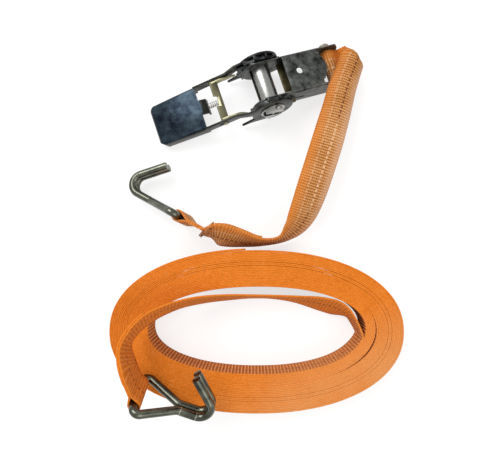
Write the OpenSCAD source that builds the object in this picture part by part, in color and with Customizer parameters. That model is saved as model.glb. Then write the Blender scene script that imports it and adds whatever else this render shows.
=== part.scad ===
// Ratchet tie down: a ratchet buckle lying open on its flanges, a short strap with a hook,
// and a separate long strap wound into an oval coil, with its own hook.
// Lengths in mm, angles in degrees. +Z up, the table is Z = 0, and the origin is
// under the middle of the whole set.

/* [Webbing] */
// Width of the polyester webbing
web_w = 25; // [20:1:25]
// Thickness of one layer of webbing
web_t = 1.4; // [1:0.1:1.6]
// Gap left round a wire or bolt inside a sewn loop
loop_gap = 0.3; // [0.2:0.1:0.6]
// Length of the sewn double tongue behind each hook loop
tongue_l = 12; // [10:1:14]

/* [Base frame] */
// Inner width between the base cheeks
base_in = 28; // [27:0.5:28.5]
// Sheet steel thickness of frame and handle
sheet = 1.5; // [1.4:0.1:1.6]
// Height of the outer face of the base plate over the spool axis
plate_h = 13.5; // [13:0.5:14]
// Distance from the spool axis to the near edge of the base plate
plate_start = 16; // [15.5:0.5:17]
// Distance from the spool axis to the rounded end of the base plate
plate_end = 50; // [49:0.5:50.5]
// Distance from the spool axis to the end bolt
bolt_at = 58; // [57:1:60]
// Height of the end bolt over the spool axis
bolt_h = 3.5; // [3:0.5:4]
// Radius of the end bolt
bolt_r = 3.5; // [3:0.25:3.75]
// Depth of the base cheeks below the spool axis, behind the wheels
cheek_low = 6.5; // [6:0.5:6.5]
// Radius of the base cheek round the spool
cheek_r = 14.6; // [14:0.2:15.2]
// Radius of the hole over the spring tab in the base plate
tab_hole_r = 2.6; // [2:0.2:3]
// Distance from the spool axis to the hole in the base plate
tab_hole_at = 27; // [26:0.5:29]
// Sideways offset of the spring tab and its hole
tab_off = 0.5; // [-2:0.5:2]

/* [Handle] */
// Outer width of the grip
grip_w = 36; // [35:0.5:37]
// Distance from the spool axis to the free end of the handle
handle_l = 95; // [93:1:96]
// Length of the grip plate
grip_l = 42; // [40:1:43]
// Depth of the grip's side flanges at the root
grip_d = 10.9; // [10:0.1:11]
// Depth of the grip's flanges at the free end
tip_d = 9; // [7:0.5:10]
// Radius of the handle cheek round the wheels
handle_r = 17; // [16.5:0.1:17.4]

/* [Spool and wheels] */
// Radius of the split spool
spool_r = 8; // [7.5:0.1:8.2]
// Slot between the two halves of the spool
slot = 4.4; // [4:0.2:4.6]
// Running clearance of the spool in the cheeks
run_gap = 0.06; // [0.03:0.01:0.09]
// Length of the spool that stands out past each handle cheek
spool_out = 3.3; // [3.2:0.1:4]
// Number of ratchet teeth (the phase of the pawls is drawn for twelve)
teeth = 12; // [12:1:12]
// Radius of the ratchet wheels over the teeth
tooth_r = 18.5; // [18:0.1:18.6]
// Radius at the bottom of the teeth
root_r = 14.5; // [14.2:0.1:14.8]
// Thickness of a ratchet wheel
wheel_t = 2.6; // [2.4:0.1:2.7]
// Side gap between cheek, wheel and handle
side_gap = 0.35; // [0.3:0.05:0.4]
// Thickness of the washer under each cotter pin
washer_t = 0.6; // [0.5:0.1:0.8]

/* [Pawls] */
// Thickness of the locking pawl
pawl_t = 2; // [1.8:0.1:2.4]
// Gap between a pawl's tip and the bottom of the teeth
pawl_gap = 0.5; // [0.3:0.1:0.7]
// Travel that lifts a pawl out of the teeth
pawl_travel = 3.5; // [3.3:0.1:3.6]
// Wire radius of the pawl springs
spring_wire = 0.45; // [0.35:0.05:0.5]

/* [Hooks] */
// Radius of the hook wire
wire_r = 3; // [2.6:0.1:3.1]
// Radius of the hook bend, at the middle of the wire
hook_bend = 8.5; // [8:0.5:10]
// Angle that the hook bend turns through
hook_turn = 136; // [130:2:150]
// Straight length of the two shanks side by side
shank_l = 12; // [10:1:14]
// Length of the straight tip
tip_l = 23; // [18:1:25]

/* [Coil] */
// Half of the coil's outer length
coil_a = 113; // [110:1:116]
// Half of the coil's outer width
coil_b = 62.5; // [60:0.5:64]
// Thickness of the winding
wind_t = 30; // [28:0.5:31]

/* [Hidden] */

steel = "silver";
zinc = "darkkhaki";
orange = "darkorange";
$fn = 64;
eps = 0.01;

// where the ratchet lies and how far each half dips towards the table
spool_at = [6.3, 114.3, tooth_r + 0.3];
yaw = 18.7;
base_dip = 11;
handle_dip = 13.5;
slot_dip = 20;

// inner radius where the sheet is bent
bend_in = 0.8;

// widths across the buckle, each half measured from the middle
cheek_in = base_in / 2;
cheek_out = cheek_in + sheet;
wheel_in = cheek_out + side_gap;
wheel_out = wheel_in + wheel_t;
ear_out = wheel_in + wheel_t;
arm_in = wheel_out + side_gap;
arm_out = arm_in + sheet;
grip_out = grip_w / 2;
grip_in = grip_out - sheet;
spool_end = arm_out + spool_out;
cotter_r = 1;
cotter_at = arm_out + washer_t + cotter_r + 0.5;

// handle: where the rails widen to pass the wheels
flare_far = -26;
flare_near = -17;
grip_root = -(handle_l - grip_l);
grip_top = 13;
rail_low = grip_top - grip_d;
narrow = 1.3;

// the locking pawl slides along the base, straight at the spool's middle
pawl_tip = root_r + pawl_gap;
lock_l = 11;
lock_ear_l = 6;
lock_spring_l = 11;
spring_r = 2.4;
lock_spring_at = pawl_tip + lock_l;
tab_at = lock_spring_at + lock_spring_l;
pawl_slide = 0.3;

// the drive pawl stands clear of the teeth until it is let go
clear_r = tooth_r + 0.4;
bar_at = grip_root + 15.5;

// end of the buckle
end_r = plate_h - bolt_h;
nut_r = 5;
nut_t = 3.4;

// the webbing loops
loop_in = bolt_r + loop_gap;
eye_in = wire_r + loop_gap;
eye_out = eye_in + web_t;

// hooks
hook_corner = 4;
hook_lean = 120;
bar_half = web_w / 2 + 0.7;
wire_pitch = wire_r + 0.08;
knee_r = 5;
knee_turn = hook_lean - 90;
leg_drop = knee_r * (1 - cos(knee_turn));
leg_x = hook_corner * (1 - cos(hook_lean));
leg_z = bar_half + hook_corner * sin(hook_lean);
leg_l = (leg_z - wire_pitch - leg_drop) / -cos(hook_lean);
join_x = leg_x + leg_l * sin(hook_lean);
bend_x = join_x + knee_r * sin(knee_turn) + shank_l;
short_eye_at = [-58, 8.2, 21.2];
short_hook_turn = 151.7;
short_hook_dip = 12;
long_eye_at = [-83.8, -118, 46.5];
long_hook_tilt = 23;
long_hook_turn = -24;
// the sewn eye points back along the strap, not along the hook
long_eye_turn = -39;

coil_at = [0.1, -78.4];
coil_in_a = coil_a - wind_t;
coil_in_b = coil_b - wind_t;

// brings the middle of the set over the origin
middle = [-0.1, -5.92, 0];

// ---- helpers -------------------------------------------------------------------

module placed() { translate(middle) children(); }
module at_spool() { translate(spool_at) rotate([0, 0, yaw]) children(); }
module at_base() { at_spool() rotate([0, base_dip, 0]) children(); }
module at_handle() { at_spool() rotate([0, -handle_dip, 0]) children(); }

// a side profile, drawn as [along, up], given thickness across the buckle
module across(from, to) {
    translate([0, to, 0]) rotate([90, 0, 0]) linear_extrude(to - from) children();
}
module both_sides() { children(); mirror([0, 1, 0]) children(); }

// a rod along the spool's direction
module rod_across(r, from, to) { across(from, to) circle(r); }

// a block with both upper corners rounded, drawn as [across, up]
module round_top(half, top, low, r) {
    translate([-half, low]) square([2 * half, top - r - low]);
    translate([-half + r, low]) square([2 * (half - r), top - low]);
    for (s = [-1, 1]) translate([s * (half - r), top - r]) circle(r);
}
// a U section of bent sheet
module u_section(half, top, low, t) {
    difference() {
        round_top(half, top, low, t + bend_in);
        translate([0, -eps]) round_top(half - t, top - t, low, bend_in);
    }
}
module along(from, to) {
    translate([from, 0, 0]) rotate([90, 0, 90]) linear_extrude(to - from) children();
}

function unit(v) = v / norm(v);
function spin(a, v) = [v[0] * cos(a) - v[1] * sin(a), v[0] * sin(a) + v[1] * cos(a), v[2]];
function dip(a, v) = [v[0] * cos(a) + v[2] * sin(a), v[1], -v[0] * sin(a) + v[2] * cos(a)];
function base_point(v) = spool_at + spin(yaw, dip(base_dip, v));
function base_way(v) = spin(yaw, dip(base_dip, v));

// a smooth curve through a list of rows of numbers
function blend4(a, b, c, d, t) =
    0.5 * (2 * b + (c - a) * t + (2 * a - 5 * b + 4 * c - d) * t * t
           + (3 * b - a - 3 * c + d) * t * t * t);
function through(rows, steps) = let (n = len(rows)) [
    for (i = [0 : n - 2], k = [0 : steps - 1])
        blend4(rows[max(i - 1, 0)], rows[i], rows[i + 1], rows[min(i + 2, n - 1)], k / steps),
    rows[n - 1]];

// a flat strap: each row of the route is its middle and the way of its width
module strap(route, steps, thick) {
    mids = through([for (r = route) r[0]], steps);
    ways = through([for (r = route) unit(r[1])], steps);
    n = len(mids);
    corners = [for (i = [0 : n - 1])
        let (run = unit(mids[min(i + 1, n - 1)] - mids[max(i - 1, 0)]),
             w = unit(ways[i] - (ways[i] * run) * run),
             face = cross(run, w))
        for (c = [[1, 1], [-1, 1], [-1, -1], [1, -1]])
            mids[i] + w * (c[0] * web_w / 2) + face * (c[1] * thick / 2)];
    sides = [for (i = [0 : n - 2], k = [0 : 3])
        let (a = 4 * i + k, b = 4 * i + (k + 1) % 4)
        for (f = [[a, b, b + 4], [a, b + 4, a + 4]]) f];
    last = 4 * (n - 1);
    polyhedron(corners, concat([[3, 2, 1, 0]], sides, [[last, last + 1, last + 2, last + 3]]));
}

// a sewn loop round a bar along Z, its double tongue pointing to -X
module sewn_loop(inner, tongue) {
    outer = inner + web_t;
    linear_extrude(web_w, center = true) difference() {
        union() {
            circle(outer);
            polygon([[0, outer], [-outer * 1.9, web_t], [-tongue, web_t],
                     [-tongue, -web_t], [-outer * 1.9, -web_t], [0, -outer]]);
        }
        circle(inner);
    }
}

// a coil spring along +X from 0 to len, swept as a wire of six sides
module coil_spring(len, r, wire, turns) {
    per_turn = 14;
    sides = 6;
    n = turns * per_turn;
    run = len - 2 * wire;
    rings = [for (i = [0 : n])
        let (a = 360 * i / per_turn, x = wire + run * i / n)
        for (k = [0 : sides - 1])
            let (b = 360 * k / sides, rr = r - wire + wire * cos(b))
            [x + wire * sin(b), rr * cos(a), rr * sin(a)]];
    faces = [for (i = [0 : n - 1], k = [0 : sides - 1])
        let (a = sides * i + k, b = sides * i + (k + 1) % sides)
        for (f = [[a, b + sides, b], [a, a + sides, b + sides]]) f];
    cap = [for (k = [0 : sides - 1]) k];
    polyhedron(rings, concat([cap], faces, [[for (k = [sides - 1 : -1 : 0]) sides * n + k]]));
}

// ---- base ----------------------------------------------------------------------

module base_side() {
    circle(cheek_r);
    polygon([[0, cheek_r], [6, plate_h], [bolt_at, plate_h], [bolt_at, -cheek_low],
             [19, -cheek_low], [9, -11.3], [0, -cheek_r]]);
    translate([bolt_at, bolt_h]) circle(end_r);
}

module plate_plan() {
    // the plate ends in a rounded tongue between two relief notches
    difference() {
        translate([plate_start, -cheek_out]) square([plate_end - plate_start, 2 * cheek_out]);
        difference() {
            translate([plate_end - 4, -cheek_out - 1]) square([8, 2 * cheek_out + 2]);
            translate([plate_end - 14, 0]) circle(14);
        }
        for (s = [-1, 1]) translate([plate_end - 4, s * (cheek_in - 1.6)]) circle(2);
    }
}

module base_frame() {
    color(steel) placed() at_base() difference() {
        intersection() {
            along(-40, bolt_at + end_r + 1) u_section(cheek_out, plate_h, -20, sheet);
            across(-cheek_out - 1, cheek_out + 1) base_side();
            union() {
                linear_extrude(40) plate_plan();
                both_sides() translate([-40, cheek_in, -20]) cube([130, 2 * sheet, 60]);
            }
        }
        rod_across(spool_r + run_gap, -cheek_out - 1, cheek_out + 1);
        translate([bolt_at, 0, bolt_h]) rod_across(bolt_r, -cheek_out - 1, cheek_out + 1);
        // slots that guide the locking pawl
        translate([pawl_tip - 0.4, -cheek_out - 1, -pawl_t / 2 - pawl_slide])
            cube([lock_l + pawl_travel + 0.8, 2 * cheek_out + 2, pawl_t + 2 * pawl_slide]);
        translate([tab_hole_at, tab_off, 0]) cylinder(r = tab_hole_r, h = 40);
    }
    // the tab under the plate that the spring pushes against
    color(steel) placed() at_base() across(-4, 4) polygon([[tab_at, -3.2], [tab_at + sheet, -3.2],
        [tab_at + sheet, plate_h - sheet + 0.2], [tab_at, plate_h - sheet + 0.2]]);
}

module end_bolt() {
    color(steel) placed() at_base() translate([bolt_at, 0, bolt_h]) {
        rod_across(bolt_r, -cheek_out - 0.05, cheek_out + nut_t + 1);
        rod_across(nut_r - 0.5, -cheek_out - 2.2, -cheek_out);
        rod_across(nut_r - 1.6, -cheek_out - 2.7, -cheek_out - 2.1);
    }
}

module end_nut() {
    color(steel) placed() at_base() translate([bolt_at, 0, bolt_h]) difference() {
        across(cheek_out, cheek_out + nut_t) circle(nut_r, $fn = 6);
        rod_across(bolt_r, cheek_out - 1, cheek_out + nut_t + 1);
    }
}

module lock_pawl() {
    color(zinc) placed() at_base() {
        // the ears in the teeth, the plate through both cheeks and its raised back
        translate([pawl_tip, -ear_out, -pawl_t / 2]) cube([lock_ear_l, 2 * ear_out, pawl_t]);
        translate([pawl_tip + 0.4, -cheek_in + 0.3, -pawl_t / 2])
            cube([lock_l - 0.4, base_in - 0.6, pawl_t]);
        translate([lock_spring_at - 1.6, tab_off - 4, -2.8]) cube([1.6, 8, 5.6]);
    }
}

module lock_spring() {
    color("gray") placed() at_base() translate([lock_spring_at + 0.1, tab_off, 0])
        coil_spring(lock_spring_l - 0.2, spring_r, spring_wire, 6);
}

// ---- handle --------------------------------------------------------------------

module handle_side() {
    end_r = 3;
    difference() {
        union() {
            circle(handle_r);
            polygon([[0, handle_r], [-9, grip_top], [-handle_l + end_r, grip_top],
                     [-handle_l, grip_top - end_r], [-handle_l, grip_top - tip_d + 1],
                     [-handle_l + 2, grip_top - tip_d], [grip_root, rail_low],
                     [grip_root + 5, 5], [-14, 5], [0, 0]]);
            translate([-handle_l + end_r, grip_top - end_r]) circle(end_r);
            // the pointed tail below the rail
            polygon([[-6, -4], [-18, -5.6], [-28.5, -8.2], [-28.2, -9.6], [-20, -10.2], [-8, -14.5]]);
        }
    }
}

module rail_plan() {
    polygon([[grip_root - 1, grip_in], [flare_far, grip_in], [flare_near, arm_in],
             [handle_r + 1, arm_in], [handle_r + 1, arm_out], [flare_near, arm_out],
             [flare_far, grip_out], [grip_root - 1, grip_out]]);
}

module grip_plan() {
    // the grip narrows a little to its free end, with the corners cut
    e = grip_out - narrow;
    polygon([[-handle_l + 4, -e], [grip_root, -grip_out], [grip_root, grip_out],
             [-handle_l + 4, e], [-handle_l, e - 3.5], [-handle_l, -e + 3.5]]);
}

module handle_frame() {
    slot_l = 3 + pawl_travel + 0.6;
    color(steel) placed() at_handle() difference() {
        union() {
            // the grip: a sheet bent down at both sides and at the free end
            intersection() {
                difference() {
                    translate([0, 0, -30]) linear_extrude(60) grip_plan();
                    difference() {
                        translate([sheet * 0.8, 0, -30 - sheet]) linear_extrude(60)
                            offset(delta = -sheet) grip_plan();
                        translate([-200, -50, grip_top - sheet]) cube([300, 100, 50]);
                    }
                    translate([grip_root - sheet * 0.4, -grip_in, -20])
                        cube([5, 2 * grip_in, 20 + grip_top - sheet]);
                }
                along(-handle_l - 1, grip_root) round_top(grip_out, grip_top, -20, sheet + bend_in);
                across(-arm_out, arm_out) handle_side();
            }
            both_sides() intersection() {
                translate([0, 0, -30]) linear_extrude(60) rail_plan();
                across(-arm_out, arm_out) handle_side();
                // the tail stays flat, in the plane of the cheek
                union() {
                    translate([-200, 0, 4.9]) cube([400, 40, 40]);
                    translate([flare_near + 0.1, 0, -30]) cube([60, 40, 60]);
                }
            }
            both_sides() intersection() {
                across(arm_in, arm_out) handle_side();
                translate([-40, 0, -30]) cube([60, 40, 30]);
            }
            // the tongue that the drive spring pushes against
            across(-6, 6) polygon([[grip_root - 1, grip_top], [grip_root + 1.4, grip_top],
                [grip_root + 6, 10.6], [grip_root + 6, 5.6], [grip_root + 4.6, 5.6],
                [grip_root + 4.6, 9.8], [grip_root + 0.8, grip_top - sheet],
                [grip_root - 1, grip_top - sheet]]);
        }
        rod_across(spool_r + run_gap, -arm_out - 1, arm_out + 1);
        // guide slots for the drive pawl's ears
        translate([bar_at - 1.5 - pawl_travel - 0.3, -arm_out - 1, 7.7 - pawl_slide])
            cube([slot_l, 2 * arm_out + 2, 2.6 + 2 * pawl_slide]);
    }
}

module drive_pawl() {
    arm = 1.6;
    far = grip_in - 0.25;
    color(zinc) placed() at_handle() {
        // the cross bar that the fingers pull, notched in the middle for the spring
        difference() {
            across(-far, far)
                polygon([[bar_at - 2.6, 12.2], [bar_at - 1.6, 12.8], [bar_at + 3.2, 7.6],
                         [bar_at + 2.2, 6.6]]);
            translate([bar_at - 4, -4.2, 9.6]) cube([8, 8.4, 5]);
        }
        both_sides() intersection() {
            translate([0, 0, -5]) linear_extrude(25)
                polygon([[bar_at - 2, far], [-22, far], [-19, wheel_in + 0.8], [-17, wheel_in + 1.1],
                         [-17, wheel_in], [-19, wheel_in], [-21, far - arm / 2], [-24, far - arm],
                         [bar_at - 2, far - arm]]);
            across(-20, 20)
                polygon([[bar_at - 2.6, 12.2], [bar_at + 6.5, 12], [-21.5, 8.6], [-18.7, 5.4],
                         [-18.9, 3.4], [-20, 3.2], [-22.6, 6.6], [bar_at + 5.5, 7.4],
                         [bar_at + 2.2, 6.6]]);
        }
        // ears through the handle's slots
        both_sides() translate([bar_at - 1.5, far - 0.5, 7.7])
            cube([3, grip_out + 1.4 - far + 0.5, 2.6]);
    }
}

module drive_spring() {
    color("gray") placed() at_handle() translate([grip_root + 6.1, 0, 8]) rotate([0, 0, 0])
        coil_spring(bar_at - 2.2 - grip_root - 4.2, spring_r, spring_wire, 5);
}

// ---- spool ---------------------------------------------------------------------

module at_slot() { at_spool() rotate([0, slot_dip, 0]) children(); }

module half_spool(up) {
    at_slot() difference() {
        rod_across(spool_r, -spool_end, spool_end);
        translate([-20, -spool_end - 1, up ? -20 : -slot / 2])
            cube([40, 2 * spool_end + 2, 20 + slot / 2]);
        for (s = [-1, 1]) translate([0, s * (cotter_at), 0])
            cylinder(r = cotter_r, h = 40, center = true);
    }
}
module spool_half_front() { color(steel) placed() half_spool(true); }
module spool_half_back() { color(steel) placed() half_spool(false); }

module tooth_ring() {
    pitch = 360 / teeth;
    polygon([for (i = [0 : teeth - 1])
        for (p = [[root_r, -7], [root_r, 7], [tooth_r, pitch - 10], [tooth_r, pitch - 7.2]])
            p[0] * [cos(i * pitch + p[1]), sin(i * pitch + p[1])]]);
}

// one toothed wheel with two D holes for the halves of the spool
module wheel(from, to) {
    at_spool() difference() {
        across(from, to) rotate(-base_dip) tooth_ring();
        rotate([0, slot_dip, 0]) difference() {
            rod_across(spool_r, from - 1, to + 1);
            translate([-20, from - 2, -slot / 2]) cube([40, to - from + 4, slot]);
        }
    }
}
module wheel_near() { color("dimgray") placed() wheel(-wheel_out, -wheel_in); }
module wheel_far() { color("dimgray") placed() wheel(wheel_in, wheel_out); }

module washer(side) {
    from = side > 0 ? arm_out + 0.1 : -arm_out - 0.1 - washer_t;
    at_spool() difference() {
        rod_across(spool_r + 2, from, from + washer_t);
        rod_across(spool_r, from - 1, from + washer_t + 1);
    }
}
module washer_near() { color(steel) placed() washer(-1); }
module washer_far() { color(steel) placed() washer(1); }

module cotter(side) {
    at_slot() translate([0, side * (cotter_at), 0]) {
        cylinder(r = cotter_r, h = 2 * spool_r + 4, center = true);
        translate([0, 0, spool_r + 2.2]) sphere(cotter_r + 0.3, $fn = 24);
    }
}
module cotter_near() { color(steel) placed() cotter(-1); }
module cotter_far() { color(steel) placed() cotter(1); }

// ---- short strap ---------------------------------------------------------------

loop_tongue = loop_in + web_t + 5.8;
turn_r = 7.5;
// the flat strap turns back over itself as if wound half round a slanted rod
turn_way = -42.5;
turn_lead = yaw - turn_way;
turn_at = base_point([bolt_at + loop_tongue + 1.8, 0, bolt_h]);
function turn_row(t) = let (
    a = [cos(turn_way), sin(turn_way), 0],
    p = [-sin(turn_way), cos(turn_way), 0],
    around = 180 * t,
    gain = PI * turn_r * t * cos(turn_lead) / sin(turn_lead))
    [turn_at + a * gain + p * (turn_r * sin(around)) + [0, 0, turn_r * (1 - cos(around))],
     a * sin(turn_lead) - cos(turn_lead) * (p * cos(around) + [0, 0, sin(around)])];

short_route = concat([
    [base_point([bolt_at + loop_tongue + 0.05, 0, bolt_h]), spin(yaw, [0, 1, 0])],
    [base_point([bolt_at + loop_tongue + 0.8, 0, bolt_h]), spin(yaw, [0, 1, 0])]],
    [for (i = [0 : 8]) turn_row(i / 8)], [
    [[68, 102, 26.5], [0.96, -0.22, 0.05]],
    [[60, 76, 27.5], [0.95, -0.26, 0.03]],
    [[52, 50, 26.5], [0.94, -0.3, 0]],
    [[45, 28, 23], [0.9, -0.33, -0.2]],
    [[38, 11, 19], [0.75, -0.42, -0.5]],
    [[29, 0, 16], [0.42, -0.4, -0.8]],
    [[17, -8.4, 15], [0.1, -0.25, -0.96]],
    [[0, -10.7, 15.6], [0, -0.06, -1]],
    [[-15, -9.2, 19.5], [0.1, 0.3, -0.94]],
    [[-28, -6, 24], [0.12, 0.4, -0.9]]]);

module short_strap_loop() {
    color(orange) placed() at_base() translate([bolt_at, 0, bolt_h]) rotate([90, 0, 0]) rotate([0, 0, 180])
        sewn_loop(loop_in, loop_tongue);
}

short_way = spin(short_hook_turn, dip(short_hook_dip, [1, 0, 0]));
short_up = spin(short_hook_turn, dip(short_hook_dip, [0, 0, -1]));
function short_eye_end(back) = short_eye_at - (eye_out + tongue_l + back) * short_way;

module short_strap() {
    color(orange) placed() strap(concat(short_route, [[short_eye_end(4), short_up],
        [short_eye_end(1), short_up], [short_eye_end(0.05), short_up]]), 3, 2 * web_t);
}

module at_short_hook() {
    translate(short_eye_at) rotate([0, 0, short_hook_turn]) rotate([0, short_hook_dip, 0]) children();
}
module short_strap_eye() { color(orange) placed() at_short_hook() sewn_loop(eye_in, eye_out + tongue_l); }

// ---- hooks ---------------------------------------------------------------------

// one bent wire: tip, bend, shank, leg, corner, bar and back; the bar lies on Z at X = 0
module hook() {
    module wire(len) { rotate([0, 90, 0]) cylinder(r = wire_r, h = len); }
    module arc(r, turn) { rotate_extrude(angle = turn) translate([r, 0]) circle(wire_r, $fn = 32); }
    // a hair fuller than the wire, so that straight and bent lengths join
    module joint() { sphere(wire_r + 0.04, $fn = 32); }
    cylinder(r = wire_r, h = 2 * bar_half, center = true);
    for (s = [0, 1]) mirror([0, 0, s]) {
        translate([0, 0, bar_half]) joint();
        translate([hook_corner, 0, bar_half]) rotate([90, 0, 0]) rotate([0, 0, 180 - hook_lean])
            arc(hook_corner, hook_lean);
        translate([leg_x, 0, leg_z]) joint();
        translate([leg_x, 0, leg_z]) rotate([0, hook_lean - 90, 0]) wire(leg_l);
        translate([join_x, 0, wire_pitch + leg_drop]) joint();
        translate([join_x + knee_r * sin(knee_turn), 0, wire_pitch + knee_r])
            rotate([90, 0, 0]) rotate([0, 0, -90 - knee_turn]) arc(knee_r, knee_turn);
        translate([bend_x - shank_l, 0, wire_pitch]) joint();
        translate([bend_x - shank_l, 0, wire_pitch]) wire(shank_l);
        translate([bend_x, 0, wire_pitch]) joint();
        translate([bend_x, hook_bend, wire_pitch]) {
            rotate([0, 0, -90]) arc(hook_bend, hook_turn);
            rotate([0, 0, hook_turn - 90]) translate([hook_bend, 0, 0]) {
                joint();
                rotate([0, 0, 90]) wire(tip_l);
            }
        }
    }
}
module short_hook() { color(steel) placed() at_short_hook() rotate([180, 0, 0]) hook(); }

module at_long_hook() {
    translate(long_eye_at) rotate([long_hook_tilt, 0, 0]) rotate([0, 0, long_hook_turn]) children();
}
module long_hook() { color(steel) placed() at_long_hook() hook(); }

// ---- long strap ----------------------------------------------------------------

// an oval a little fuller than an ellipse
full = 2.15;
function oval_point(a, b, t) = let (c = cos(t), s = sin(t))
    [a * sign(c) * pow(abs(c), 2 / full), b * sign(s) * pow(abs(s), 2 / full)];
function oval(a, b, n = 96) = [for (i = [0 : n - 1]) oval_point(a, b, 360 * i / n)];

module strap_coil() {
    color(orange) placed() translate(coil_at) linear_extrude(web_w) difference() {
        polygon(oval(coil_a, coil_b));
        polygon(oval(coil_in_a, coil_in_b));
    }
}

// the outer end, peeled a little off the coil
tail_gap = 0.35;
function beside_coil(t, off) = let (q = oval_point(coil_a + off, coil_b + off, t))
    [coil_at[0] + q[0], coil_at[1] + q[1], web_w / 2];
module strap_tail() {
    route = [for (i = [0 : 7])
        [beside_coil(138 - 6.6 * i, web_t / 2 + tail_gap + 0.006 * i * i), [0, 0, 1]]];
    color(orange) placed() strap(route, 2, web_t);
}

long_route = [
    [[81.15, -75.5, 12.6], [0, 0, 1]],
    [[75.5, -69.8, 12.7], [0.02, 0.05, 1]],
    [[64.5, -63, 12.9], [0.02, 0.1, 1]],
    [[51, -58.7, 13], [0, 0.12, 1]],
    [[32, -55, 13], [0, 0.12, 1]],
    [[13, -52.6, 13], [0, 0.1, 1]],
    [[-5, -52, 13.6], [0, 0.1, 1]],
    [[-21, -52.6, 16.5], [0, 0.14, 1]],
    [[-38, -54.5, 24.5], [-0.05, 0.28, 0.95]],
    [[-54, -58.5, 33.5], [-0.15, 0.45, 0.87]],
    [[-68, -64.5, 39], [-0.3, 0.6, 0.72]],
    [[-81, -71, 44], [-0.5, 0.48, 0.72]],
    [[-91, -81, 49.5], [-0.5, 0.2, 0.84]],
    [[-94.5, -90, 53], [-0.25, -0.2, 0.94]]];

eye_yaw = long_hook_turn + long_eye_turn;
long_way = [cos(eye_yaw), sin(eye_yaw) * cos(long_hook_tilt), sin(eye_yaw) * sin(long_hook_tilt)];

module long_strap_eye() {
    color(orange) placed() at_long_hook() rotate([0, 0, long_eye_turn]) sewn_loop(eye_in, eye_out + tongue_l);
}
long_up = [0, -sin(long_hook_tilt), cos(long_hook_tilt)];
function long_eye_end(back) = long_eye_at - (eye_out + tongue_l + back) * long_way;
module long_strap() {
    color(orange) placed() strap(concat(long_route, [[long_eye_end(6), long_up], [long_eye_end(1.5), long_up],
        [long_eye_end(0.05), long_up]]), 3, 2 * web_t);
}

base_frame();
end_bolt();
end_nut();
lock_pawl();
lock_spring();
handle_frame();
drive_pawl();
drive_spring();
spool_half_front();
spool_half_back();
wheel_near();
wheel_far();
washer_near();
washer_far();
cotter_near();
cotter_far();
short_strap_loop();
short_strap();
short_strap_eye();
short_hook();
strap_coil();
strap_tail();
long_strap();
long_strap_eye();
long_hook();
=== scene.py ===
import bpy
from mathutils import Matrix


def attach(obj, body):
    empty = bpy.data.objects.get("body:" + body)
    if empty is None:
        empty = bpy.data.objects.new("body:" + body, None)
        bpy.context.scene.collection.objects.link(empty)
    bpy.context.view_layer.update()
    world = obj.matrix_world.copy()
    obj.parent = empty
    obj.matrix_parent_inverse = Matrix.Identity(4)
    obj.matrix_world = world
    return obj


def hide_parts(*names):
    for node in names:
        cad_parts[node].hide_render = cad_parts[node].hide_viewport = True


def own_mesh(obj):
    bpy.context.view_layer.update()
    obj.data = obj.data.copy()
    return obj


bl_info = {
    "name": "Ratchet tie down",
    "version": (1, 0, 0),
    "blender": (4, 5, 0),
    "location": "View3D > Sidebar > Tie down",
    "description": "Dresses the ratchet tie down: webbing, plated steel and the studio",
    "category": "Object",
}

import math
import random

import bmesh
import bpy
from mathutils import Vector

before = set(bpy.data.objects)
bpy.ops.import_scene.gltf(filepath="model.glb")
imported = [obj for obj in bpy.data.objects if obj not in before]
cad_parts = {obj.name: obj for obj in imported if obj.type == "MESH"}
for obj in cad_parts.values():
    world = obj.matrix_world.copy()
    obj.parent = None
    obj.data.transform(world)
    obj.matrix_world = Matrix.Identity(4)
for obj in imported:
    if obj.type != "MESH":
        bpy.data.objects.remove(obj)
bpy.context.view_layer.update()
MM = 0.001

# ---- the picture's camera -------------------------------------------------------

SENSOR = 36.0
LENS = 29.09
SHIFT_X, SHIFT_Y = -0.006, 0.0
CAM_AT = Vector((-3.1, -22.92, 337.0)) * MM
CAM_TILT = math.radians(2.8)

# ---- sizes and places, in mm and degrees ----------------------------------------

# these repeat the CAD source's numbers or are places on its solids; MIDDLE moves them into
# the frame
MIDDLE = Vector((-0.1, -5.92, 0.0))

# the webbing: width, thickness, room round a bar, and the sewn tongue behind a hook's eye
WEB_W, WEB_T = 25.0, 1.4
LOOP_GAP = 0.3
TONGUE_L = 12.0

# the ratchet: its turn in plan, the dips of base and handle, and places seen from the spool
SPOOL_AT = Vector((6.3, 114.3, 18.8))
YAW, BASE_DIP, HANDLE_DIP = 18.7, 11.0, 13.5
GRIP_ROOT = -53.0

# round the end bolt, on the ratchet's base
BOLT_AT, BOLT_H, BOLT_R = 58.0, 3.5, 3.5
LOOP_IN = BOLT_R + LOOP_GAP
LOOP_TONGUE = LOOP_IN + WEB_T + 5.8

# round the hooks' bars
WIRE_R = 3.0
EYE_IN = WIRE_R + LOOP_GAP
EYE_OUT = EYE_IN + WEB_T
SHORT_EYE_AT, SHORT_TURN, SHORT_DIP = Vector((-58, 8.2, 21.2)), 151.7, 12.0
LONG_EYE_AT, LONG_TILT, LONG_EYE_YAW = Vector((-83.8, -118, 46.5)), 23.0, -77.0

# the coil: middle, half length, half width, thickness of its wall, and how full its oval is
COIL_AT = (0.1, -78.4)
COIL_A, COIL_B = 113.0, 62.5
WIND_T = 30.0
FULL = 2.15

# only in this script: how the webbing is sewn back, and its way round a bar
LAP_GAP = WEB_T / 2 + 0.02
BOLT_LAP, SHORT_HOOK_LAP, LONG_HOOK_LAP = 60.0, 52.0, 46.0
LOOP_OPEN, LOOP_NECK, LOOP_STEPS = 62, 1.9, 20

# the diagonal fold beside the end bolt
TURN_R, TURN_WAY, TURN_RISE, TURN_BOW = 4.0, -60.0, 6.0, 2.4
TURN_AFTER, TURN_ASIDE, TURN_LIFT = 6.0, 1.2, 2.0

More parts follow.
